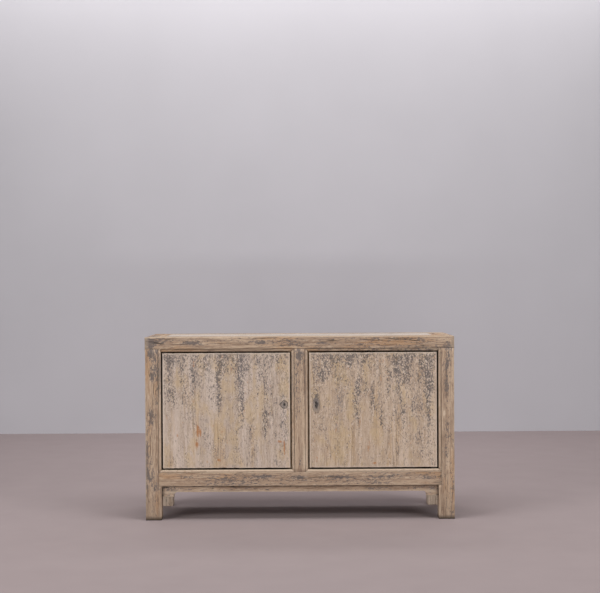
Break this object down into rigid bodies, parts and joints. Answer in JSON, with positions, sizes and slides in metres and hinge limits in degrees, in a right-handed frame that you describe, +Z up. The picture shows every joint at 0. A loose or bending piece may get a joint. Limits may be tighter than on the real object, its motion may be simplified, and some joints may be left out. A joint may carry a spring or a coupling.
{
  "type": "sideboard",
  "caption": "Low free-standing sideboard of weathered timber: beaded post-and-rail front, plank doors on wooden pivots, framed top, panelled sides and back, shelf inside.",
  "frame": {"origin": "on the floor below the middle of the cabinet, between the four legs", "axes": "+X to the right seen from the front, +Y towards the back, +Z up"},
  "size_m": [1.35, 0.42, 0.8],
  "materials": {
    "frame_wood": "bare weathered softwood, brown-grey, dry and open-grained, matt",
    "door_wood": "bleached planks with worn remains of dark grey paint, matt",
    "top_wood": "pale worn planks, matt",
    "inner_wood": "plain unpainted planks, matt"
  },
  "bodies": {
    "carcase": {"post_front_left": "frame_wood", "post_front_right": "frame_wood", "post_back_left": "frame_wood", "post_back_right": "frame_wood", "top_front_rail": "frame_wood", "top_back_rail": "frame_wood", "top_left_rail": "frame_wood", "top_right_rail": "frame_wood", "top_board_1": "top_wood", "top_board_2": "top_wood", "top_board_3": "top_wood", "top_batten_left": "inner_wood", "top_batten_right": "inner_wood", "front_bottom_rail": "frame_wood", "centre_stile": "frame_wood", "front_apron": "frame_wood", "door_stop_strip": "inner_wood", "side_rail_left": "frame_wood", "side_rail_right": "frame_wood", "side_board_front_left": "frame_wood", "side_board_back_left": "frame_wood", "side_board_front_right": "frame_wood", "side_board_back_right": "frame_wood", "side_apron_left": "frame_wood", "side_apron_right": "frame_wood", "back_bottom_rail": "frame_wood", "back_stile": "frame_wood", "back_board_left_1": "inner_wood", "back_board_left_2": "inner_wood", "back_board_right_1": "inner_wood", "back_board_right_2": "inner_wood", "floor_board_1": "inner_wood", "floor_board_2": "inner_wood", "floor_board_3": "inner_wood", "floor_bearer_left": "inner_wood", "floor_bearer_right": "inner_wood", "shelf_board_1": "inner_wood", "shelf_board_2": "inner_wood", "shelf_bearer_left": "inner_wood", "shelf_bearer_middle": "inner_wood", "shelf_bearer_right": "inner_wood"},
    "left_door": {"left_door_hinge_board": "door_wood", "left_door_middle_board": "door_wood", "left_door_meeting_board": "door_wood", "left_door_upper_batten": "inner_wood", "left_door_lower_batten": "inner_wood"},
    "right_door": {"right_door_hinge_board": "door_wood", "right_door_middle_board": "door_wood", "right_door_meeting_board": "door_wood", "right_door_upper_batten": "inner_wood", "right_door_lower_batten": "inner_wood"}
  },
  "joints": [
    {"name": "left_door_hinge", "type": "hinge", "parent": "carcase", "child": "left_door", "pos_m": [-0.585, -0.196, 0.226], "axis": [0, 0, -1], "range_deg": [0, 110]},
    {"name": "right_door_hinge", "type": "hinge", "parent": "carcase", "child": "right_door", "pos_m": [0.585, -0.196, 0.226], "axis": [0, 0, 1], "range_deg": [0, 110]}
  ]
}
